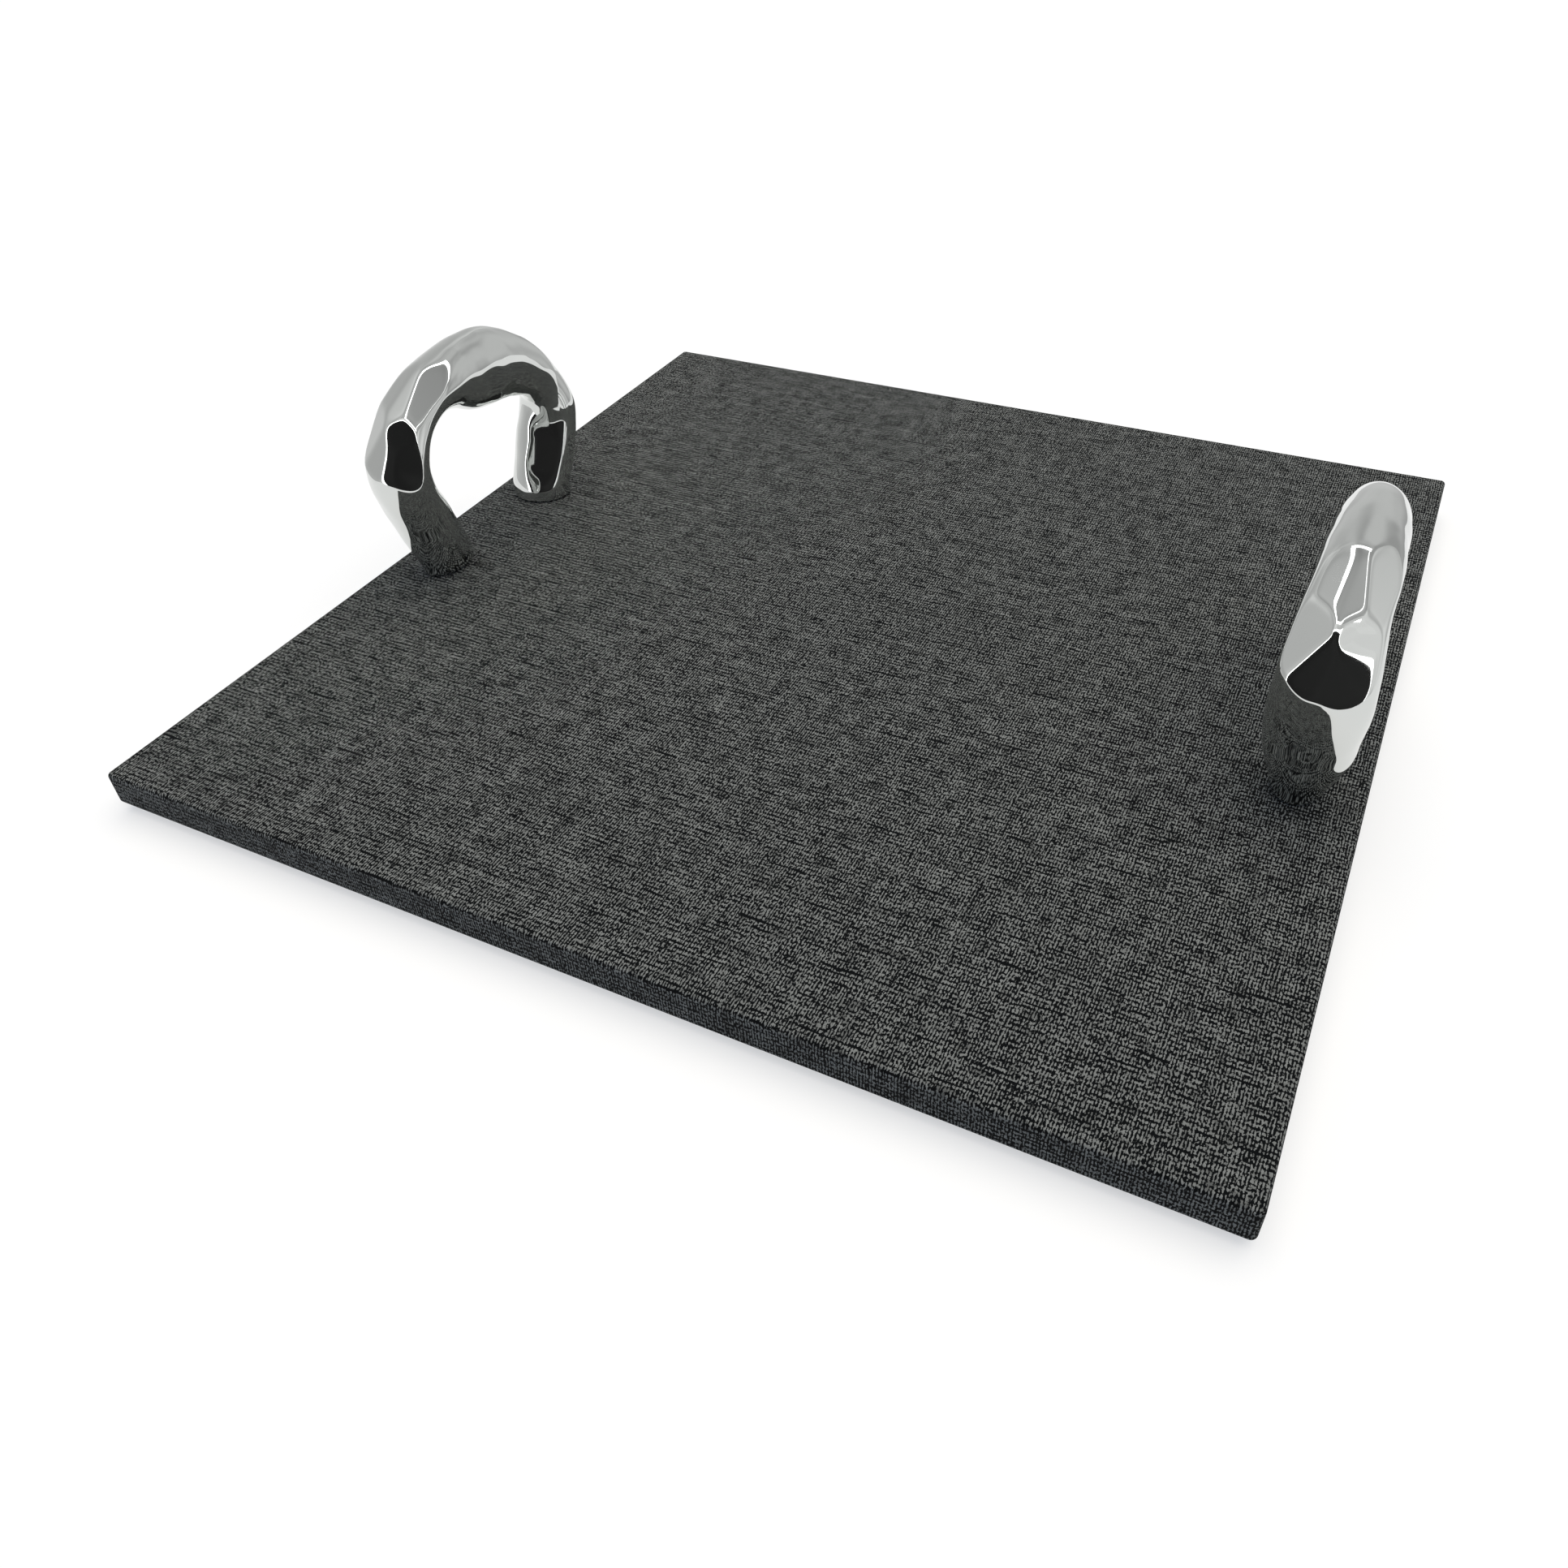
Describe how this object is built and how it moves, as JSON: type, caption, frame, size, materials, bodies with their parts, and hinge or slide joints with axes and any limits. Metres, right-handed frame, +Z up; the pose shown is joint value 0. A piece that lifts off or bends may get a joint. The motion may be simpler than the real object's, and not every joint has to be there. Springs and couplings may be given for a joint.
{
  "type": "serving tray",
  "caption": "Flat square serving tray: a fibreboard panel wrapped in charcoal woven-grain leatherette, with mirror-bright cast arch handles on opposite edges.",
  "frame": {"origin": "on the table, under the middle of the board", "axes": "+Z up; +X from the left handle to the right one; +Y from the front edge to the back edge"},
  "size_m": [0.4, 0.4, 0.1032],
  "materials": {
    "fibreboard": "raw medium-density fibreboard",
    "leatherette": "charcoal, embossed with a linen weave, low sheen",
    "felt": "black needle felt",
    "rubber": "matt black",
    "zinc_steel": "bright zinc plate",
    "chrome": "mirror plate on a softly hammered casting"
  },
  "bodies": {
    "root": {"core_board": "fibreboard", "leatherette_cover": "leatherette", "underside_lining": "felt", "handle_left": "chrome", "handle_right": "chrome", "handle_screw_left_front": "zinc_steel", "handle_screw_left_back": "zinc_steel", "handle_screw_right_front": "zinc_steel", "handle_screw_right_back": "zinc_steel", "screw_washer_left_front": "zinc_steel", "screw_washer_left_back": "zinc_steel", "screw_washer_right_front": "zinc_steel", "screw_washer_right_back": "zinc_steel", "foot_pad_left_front": "rubber", "foot_pad_left_back": "rubber", "foot_pad_right_front": "rubber", "foot_pad_right_back": "rubber"}
  },
  "joints": []
}
